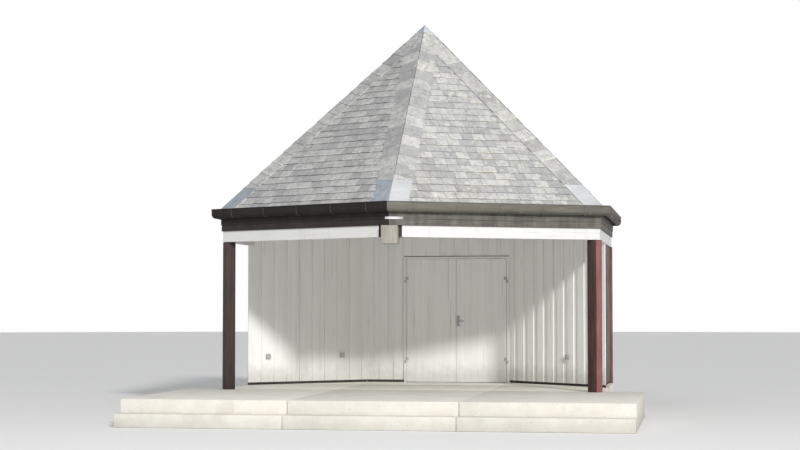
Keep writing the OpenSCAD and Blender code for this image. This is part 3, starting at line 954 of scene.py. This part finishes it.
BOARD_PITCH = 0.246
BOARD = 0.148
BOARD_T = 0.019
LINING_PITCH = 0.12
LINING = 0.119
LINING_T = 0.012
WALL_FOOT = 0.042
NAIL_R = 0.0048
NAIL_T = 0.004
NAIL_ROWS = (0.055, 0.35, 0.66, 0.945)
FOLD_BOARD = BOARD / 2 - 0.04
HEADER_GAP = 0.012
BOTTOM = DECK + WALL_FOOT
TOP = WALL_TOP - 0.001
OUTER_TOP = HEAD - 0.002


def wall_board(tall, wide, thick, arris):
    """An upright board along +X from 0, with eased arrises on its +Z side."""
    piece = block((0, -wide / 2, 0), (tall, wide / 2, thick))
    return ease_edges(piece, arris, lambda mid, way: mid.z > thick - NEAR)


def face_boards(start, way, length, tall, shift, layers, finish):
    """One or two layers of boards along way, the first BOARD_T behind the wall's face, and nails in that face."""
    out = -way.cross(UP)
    over = wall_board(tall, BOARD, BOARD_T, 0.0025)
    under = wall_board(tall, BOARD, BOARD_T, 0.0015)
    nail = rod(NAIL_R, NAIL_T, (0, 0, 0), sides=8)
    ease_edges(nail, 0.0014, lambda mid, way: mid.z > NAIL_T / 2 - NEAR)
    for pattern in (over, under, nail):
        pattern.data.materials.append(finish)
    made = []
    at = shift - BOARD_PITCH
    while at < length + BOARD:
        place = start + way * at
        for aside, pattern, sunk in ((0, over, BOARD_T), (BOARD_PITCH / 2, under, 2 * BOARD_T))[:layers]:
            tone = chance.random()
            spot = place + way * aside - out * (sunk - chance.uniform(-0.0008, 0.0006))
            made.append(laid(pattern, spot, UP, -way, tone))
        for share in NAIL_ROWS:
            spot = place + UP * tall * share + way * chance.uniform(-0.006, 0.006) + out * 0.0012
            if -0.02 < at < length + 0.02:
                made.append(laid(nail, spot, -way, UP, tone))
        at += BOARD_PITCH
    drop(over, under, nail)
    return made


def cladding(start, way, length, bottom, top, shift=0.0, depth=WALL_T, layers=2, finish=WHITE):
    """A wall's thickness: face boards from start along way, a core whose foot is near-black as painted shadow
    under the boards, and a lining.
    """
    start, way = Vector(start), way.normalized()
    out = -way.cross(UP)
    behind = layers * BOARD_T
    made = face_boards(start + UP * bottom, way, length, top - bottom, shift, layers, finish)
    turn = Matrix((way, -out, UP)).transposed().to_4x4()
    foot = bottom - WALL_FOOT
    for low, high, coat in ((bottom, top, finish), (foot, bottom - 0.0004, SHADOW_DARK)):
        core = block((0, 0.001, low), (length, depth - behind - LINING_T - 0.0015, high))
        core.data.transform(Matrix.Translation(start - out * behind) @ turn)
        core.data.materials.append(coat)
        made.append(mark(core, along=UP, across=way))
    board = wall_board(top - foot, LINING, LINING_T, 0.004)
    board.data.materials.append(finish)
    at = LINING_PITCH / 2
    while at < length + LINING_PITCH / 2:
        made.append(laid(board, start + way * at + UP * foot - out * (depth - LINING_T - 0.0005), UP, way))
        at += LINING_PITCH
    drop(board)
    return made


def fold_plane(sign):
    """The mitre between the backdrop's middle and a wing, facing the wing."""
    facing = Vector((sign, -math.tan(WING_TURN / 2), 0)).normalized()
    return Vector((sign * FOLD_X, FOLD_Y, 0)), facing


def wing(sign, name, node):
    """A wing of the backdrop, full height inside the beams and lower where it runs under them."""
    fold, to_wing = fold_plane(sign)
    end = Vector((sign * WALL_AP, -WING_END_Y, 0))
    beyond = X * sign
    long_way = (end - fold).length
    start, way, shift = fold, end - fold, FOLD_BOARD
    if sign > 0:
        start, way, shift = end, fold - end, (long_way - FOLD_BOARD) % BOARD_PITCH
    under_beam = beyond * (BEAM_IN - 0.001)
    state = chance.getstate()
    tall = cladding(start, way, long_way, BOTTOM, TOP, shift)
    tall = trimmed(tall, [(fold, -to_wing), (under_beam, beyond)])
    chance.setstate(state)
    short = cladding(start, way, long_way, BOTTOM, OUTER_TOP, shift)
    short = trimmed(short, [(under_beam, -beyond), (beyond * WALL_AP, beyond)])
    fitted(joined([tall, short]), name, WHITE, [node])


def back_boards():
    """The middle of the backdrop left of the doorway."""
    left = -DOOR_LEFT - JAMB
    wide = FOLD_X + left
    made = cladding((left, FOLD_Y, 0), -X, wide, BOTTOM, TOP, (wide - FOLD_BOARD) % BOARD_PITCH)
    piece = trimmed(made, [fold_plane(-1), (X * (left - SEAM), X)])
    fitted(piece, "back_boards", WHITE, ["back_wall"])


def header_boards():
    """The boards over the doorway, with a shadow gap above its frame."""
    left, top = -DOOR_LEFT - JAMB, DOOR_TOP + JAMB
    made = cladding((FOLD_X, FOLD_Y, 0), -X, FOLD_X - left, top + HEADER_GAP, TOP, FOLD_BOARD)
    piece = trimmed(made, [fold_plane(1), (X * (left + SEAM), -X), (UP * (top + SEAM), -UP)])
    fitted(piece, "header_boards", WHITE, ["door_header"])


def outer_boards(i, name, node, ends):
    """Dark board on board walls of the back room, between the posts."""
    out, left = side_frame(i)
    half = POST_RING / 2
    made = cladding(out * WALL_AP + left * half, -left, 2 * half, BOTTOM, OUTER_TOP, 0.03, finish=DARK)
    fitted(trimmed(made, ends), name, DARK, [node])


def post_plane(i, sign):
    """The plane at a post's face at the right or left end of side i."""
    corner = 60 * i - 60 + sign * 30
    facing = UP.cross(heading(corner)) * sign
    return heading(corner) * POST_RING - facing * (POST_HALF + CLEAR), facing


def wing_plane(sign):
    """The plane at the back of a wing, facing the stage."""
    end = Vector((sign * WALL_AP, -WING_END_Y + WALL_T / math.cos(WING_TURN) + CLEAR, 0))
    return end, Vector((-sign * math.sin(WING_TURN), -math.cos(WING_TURN), 0))


wing(-1, "wing_boards_left", "wing_wall_left")
wing(1, "wing_boards_right", "wing_wall_right")
back_boards()
header_boards()
outer_boards(2, "rear_boards_right", "rear_wall_right", [post_plane(2, -1), post_plane(2, 1)])
outer_boards(3, "rear_boards_left", "rear_wall_left", [post_plane(3, -1), post_plane(3, 1)])
outer_boards(1, "side_boards_right", "side_wall_right", [post_plane(1, 1), wing_plane(1)])
outer_boards(4, "side_boards_left", "side_wall_left", [post_plane(4, -1), wing_plane(-1)])


# Doors and sockets

LEAF_T = 0.04
FLOOR_GAP = 0.008
KNUCKLE_R = 0.009
PIN_R = 0.0045
HINGE_HALF = 0.05
HINGE_Y = FOLD_Y - KNUCKLE_R
HINGES = (DECK + 0.375, DECK + 1.755)
PLATE_REACH = 0.042
PLATE_T = 0.003
SCREW_R = 0.004
STOP_AT, STOP_D, STOP_W = 0.045, 0.020, 0.022


def hinge_half(sign, middle, moving):
    """A knuckle on the pin's axis with its plate; the moving half is the upper one."""
    axis_x = -DOOR_LEFT + LEAF_GAP / 2 if sign < 0 else DOOR_RIGHT - LEAF_GAP / 2
    low, high = (middle + SEAM, middle + HINGE_HALF) if moving else (middle - HINGE_HALF, middle)
    knuckle = ease(rod(KNUCKLE_R, high - low, (axis_x, HINGE_Y, (low + high) / 2), sides=24), 0.0008)
    reach = PLATE_REACH if moving else -(JAMB - LEAF_GAP + 0.0001)
    x0, x1 = sorted((axis_x, axis_x - sign * reach))
    made = [knuckle, ease(block((x0, FOLD_Y - PLATE_T, low), (x1, FOLD_Y - 0.0002, high)), 0.0008)]
    for share in (0.22, 0.78):
        place = (axis_x - sign * reach * 0.66, FOLD_Y - PLATE_T - 0.0004, low + (high - low) * share)
        made.append(ease(rod(SCREW_R, 0.0016, place, (math.pi / 2, 0, 0), 12), 0.0005))
    if not moving:
        made.append(rod(PIN_R, 2 * HINGE_HALF + 0.002, (axis_x, HINGE_Y, middle + 0.0005), sides=16))
    return made


def with_hinges(timber, metal):
    """Joins timber and metal parts, each with its own finish."""
    for parts, finish in ((timber, WHITE), (metal, STEEL)):
        for part in parts:
            part.data.materials.clear()
            part.data.materials.append(finish)
    for part in metal:
        mark(part, along=UP)
    return joined(timber + metal)


def leaf_boards(sign, name, node, body):
    """A door leaf faced like the wall, with its hinge halves."""
    left = -DOOR_LEFT + LEAF_GAP if sign < 0 else DOOR_RIGHT - LEAF_GAP - LEAF_W
    right = left + LEAF_W
    low, high = DECK + FLOOR_GAP, DOOR_TOP - LEAF_GAP
    made = cladding((right, FOLD_Y, 0), -X, LEAF_W, low, high, BOARD / 2, depth=LEAF_T, layers=1)
    back = FOLD_Y + LEAF_T - 0.0002
    leaf = trimmed(made, [(X * left, -X), (X * right, X), (UP * low, -UP), (Y * back, Y)])
    metal = [part for middle in HINGES for part in hinge_half(sign, middle, True)]
    fitted(with_hinges([leaf], metal), name, WHITE, [node], body)


def frame_posts():
    """Jambs, head and stops, with the fixed hinge halves."""
    left, right, top = -DOOR_LEFT, DOOR_RIGHT, DOOR_TOP
    front, back = FOLD_Y, FOLD_Y + WALL_T
    stop, stop_back = FOLD_Y + STOP_AT, FOLD_Y + STOP_AT + STOP_D
    timber = []
    for low, high in (
        ((left - JAMB, front, DECK), (left, back, top + JAMB)),
        ((right, front, DECK), (FOLD_X + 0.05, back, top + JAMB)),
        ((left, front + 0.0008, top), (right, back, top + JAMB)),
        ((left, stop, DECK), (left + STOP_W, stop_back, top)),
        ((right - STOP_W, stop, DECK), (right, stop_back, top)),
        ((left, stop, top - STOP_W), (right, stop_back, top)),
    ):
        part = cut(block(low, high), *fold_plane(1))
        upright = high[2] - low[2] > high[0] - low[0]
        timber.append(mark(ease(part, 0.002), along=UP if upright else X, across=Y))
    metal = [part for sign in (-1, 1) for middle in HINGES for part in hinge_half(sign, middle, False)]
    fitted(with_hinges(timber, metal), "door_frame_posts", WHITE, ["door_frame"])


def lever():
    """The lever handle: plate, spindle, rounded lever with its return."""
    piece = mark(ease(taken("door_handle"), 0.0028, 3), along=UP)
    fitted(piece, "lever_handle", LEAD, ["door_handle"], "right_door", smooth=40)


leaf_boards(-1, "leaf_boards_left", "door_left_leaf", "left_door")
leaf_boards(1, "leaf_boards_right", "door_right_leaf", "right_door")
frame_posts()
lever()
fitted(ease(taken("wall_sockets"), 0.006, 3), "socket_boxes", FITTING, ["wall_sockets"])


# Platform

BAY_COLUMNS = [-1.2, 1.2]
BAY_ROWS = [-1.45, 0.4]
BAY_ARRIS = 0.008


def bays(node, name, rows, joint):
    """The node's solid parted into cast bays by open joints, with rounded arrises."""
    low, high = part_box(node)
    x_lines = [low.x - joint, *BAY_COLUMNS, high.x + joint]
    y_lines = [low.y - joint, *rows, high.y + joint]
    made = []
    for x0, x1 in zip(x_lines, x_lines[1:]):
        for y0, y1 in zip(y_lines, y_lines[1:]):
            bay = taken(node)
            cut(bay, X * (x0 + joint / 2), -X)
            cut(bay, X * (x1 - joint / 2), X)
            cut(bay, Y * (y0 + joint / 2), -Y)
            cut(bay, Y * (y1 - joint / 2), Y)
            if bay.data.polygons:
                made.append(mark(ease(bay, BAY_ARRIS, 2)))
            else:
                drop(bay)
    fitted(joined(made), name, STONE, [node])


bays("stage_platform", "platform_bays", BAY_ROWS, 0.008)
bays("front_step", "step_blocks", [], 0.006)


# Floor, light and camera

SUN_FROM, SUN_HEIGHT, SUN_ANGLE = heading(-60), math.radians(23), math.radians(5)
PANEL_AT, PANEL_AIM = Vector((2.0, -15.0, 12.0)), Vector((0, -2.0, 1.7))
EYE, EYE_AIM = Vector((4.47, -28.83, 1.68)), Vector((-0.35, -0.4, 3.0))


def placed(name, data, toward, place=(0, 0, 0), axis="Z"):
    """A lamp or camera whose axis points that way."""
    thing = bpy.data.objects.new(name, data)
    bpy.context.scene.collection.objects.link(thing)
    thing.location = place
    thing.rotation_euler = toward.to_track_quat(axis, "Y").to_euler()
    return thing


def studio_floor():
    """A plain pale floor that keeps the shadow."""
    bpy.ops.mesh.primitive_circle_add(vertices=96, radius=90, fill_type="NGON", location=(0, 0, -0.002))
    floor = settle(bpy.context.object)
    floor.name = "floor"
    finish = bpy.data.materials.new("floor_finish")
    finish.use_nodes = True
    shader = finish.node_tree.nodes["Principled BSDF"].inputs
    shader["Base Color"].default_value = (0.88, 0.88, 0.88, 1)
    shader["Roughness"].default_value = 0.9
    floor.data.materials.append(finish)


def studio_light():
    """Soft light all round that looks white to the camera, a low sun from the front right and a panel."""
    world = bpy.data.worlds.new("studio")
    bpy.context.scene.world = world
    world.use_nodes = True
    sky = Graph(world.node_tree)
    path = sky.add("LightPath", {})
    seen = sky.most(path["Is Camera Ray"], sky.most(path["Is Glossy Ray"], path["Is Transmission Ray"]))
    soft = sky.tree.nodes["Background"]
    soft.inputs["Color"].default_value = (0.96, 0.98, 1.0, 1)
    soft.inputs["Strength"].default_value = 0.36
    white = sky.add("Background", {"Color": (1, 1, 1, 1), "Strength": 1.0})[0]
    blend = sky.add("MixShader", {0: seen, 1: soft.outputs[0], 2: white})[0]
    sky.tree.links.new(blend, sky.tree.nodes["World Output"].inputs["Surface"])

    lamp = bpy.data.lights.new("key", "SUN")
    lamp.energy = 2.05
    lamp.angle = SUN_ANGLE
    lamp.color = (1.0, 0.985, 0.96)
    placed("key", lamp, SUN_FROM * math.cos(SUN_HEIGHT) + UP * math.sin(SUN_HEIGHT))

    panel = bpy.data.lights.new("fill", "AREA")
    panel.shape = "RECTANGLE"
    panel.size, panel.size_y = 16, 9
    panel.energy = 850
    placed("fill", panel, PANEL_AT - PANEL_AIM, PANEL_AT)


def camera():
    """The photograph's view."""
    lens = bpy.data.cameras.new("camera")
    lens.lens = 80
    lens.sensor_width = 36
    lens.clip_end = 300
    bpy.context.scene.camera = placed("camera", lens, EYE_AIM - EYE, EYE, "-Z")
    bpy.context.scene.view_settings.view_transform = "Standard"


studio_floor()
studio_light()
camera()
